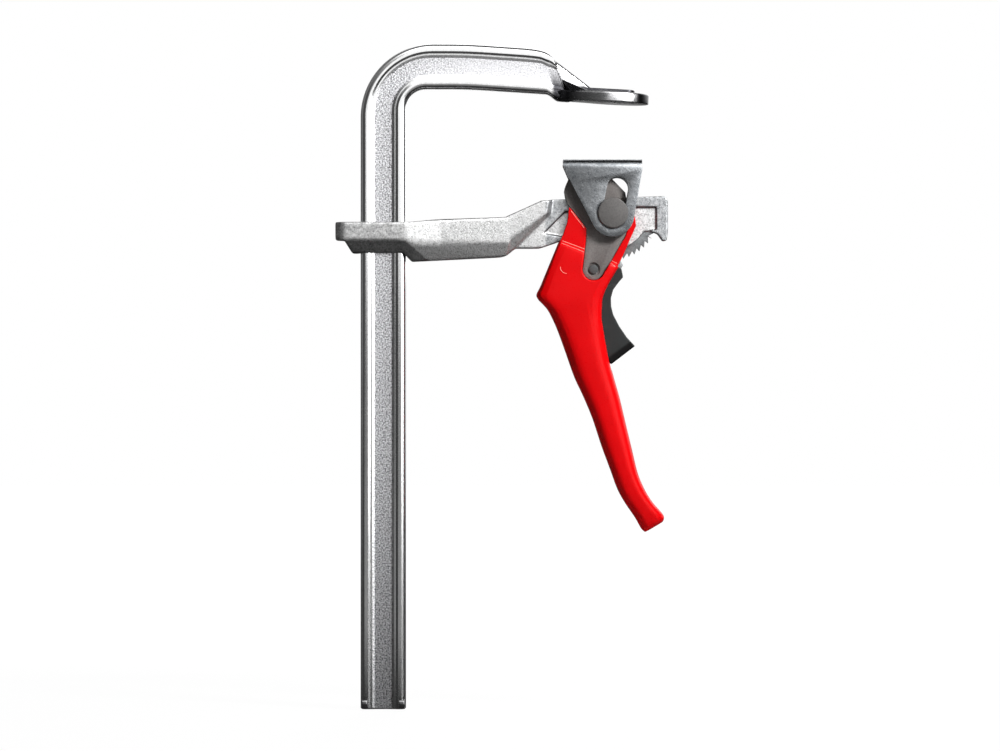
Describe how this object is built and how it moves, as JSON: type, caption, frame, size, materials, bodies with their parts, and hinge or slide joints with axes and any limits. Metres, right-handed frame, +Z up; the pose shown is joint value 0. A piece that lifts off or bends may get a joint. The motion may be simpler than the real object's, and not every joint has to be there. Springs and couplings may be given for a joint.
{
  "type": "lever clamp",
  "caption": "All-steel lever clamp: a fixed jaw on a grooved rail, a sliding arm, and a red ratchet lever with a release trigger that presses a folded jaw plate.",
  "frame": {"origin": "middle of the rail's lower end face, on the rail's centre line", "axes": "+Z runs up along the rail to the fixed jaw, +X points from the rail towards the jaws, and Y is across the clamp's thickness, which is symmetric about Y = 0"},
  "size_m": [0.1436, 0.03, 0.2876],
  "materials": {
    "plated_steel": "bright satin plating, blasted in the sunk flat",
    "forged_steel": "shot-blasted and plated forging",
    "hard_steel": "dull hardened steel",
    "dark_steel": "matt phosphated steel",
    "sheet_steel": "zinc-plated sheet",
    "red_plastic": "satin moulding",
    "black_plastic": "matt moulding",
    "spring_steel": "bright wire"
  },
  "bodies": {
    "rail": {"rail": "plated_steel"},
    "arm": {"sliding_arm": "forged_steel", "ratchet_segment": "hard_steel", "ratchet_rivets": "hard_steel", "pivot_bush": "hard_steel"},
    "plate": {"pressure_plate": "sheet_steel"},
    "lever": {"cam_plate_front": "dark_steel", "cam_plate_rear": "dark_steel", "grip": "red_plastic", "pivot_pin": "dark_steel", "pivot_washer": "dark_steel", "trigger_pin": "dark_steel"},
    "trigger": {"pawl": "hard_steel", "trigger": "black_plastic", "trigger_bush": "hard_steel", "trigger_spring": "spring_steel"}
  },
  "joints": [
    {"name": "arm_slide", "type": "slide", "parent": "rail", "child": "arm", "axis": [0, 0, 1], "range_m": [-0.1915, 0.0215]},
    {"name": "lever_swing", "type": "hinge", "parent": "arm", "child": "lever", "pos_m": [0.09915, 0, 0.2142], "axis": [0, 1, 0], "range_deg": [-46, 7]},
    {"name": "plate_slide", "type": "slide", "parent": "arm", "child": "plate", "axis": [0.1977, 0, 0.9803], "range_m": [-0.0108, 0.0017]},
    {"name": "trigger_pull", "type": "hinge", "parent": "lever", "child": "trigger", "pos_m": [0.09085, 0, 0.19], "axis": [0, 1, 0], "range_deg": [0, 12], "stiffness_Nm_per_rad": 0.03, "springref_deg": -17.19}
  ],
  "couplings": [
    {"joint": "plate_slide", "follows": "lever_swing", "m_per_rad": 0.013364}
  ]
}
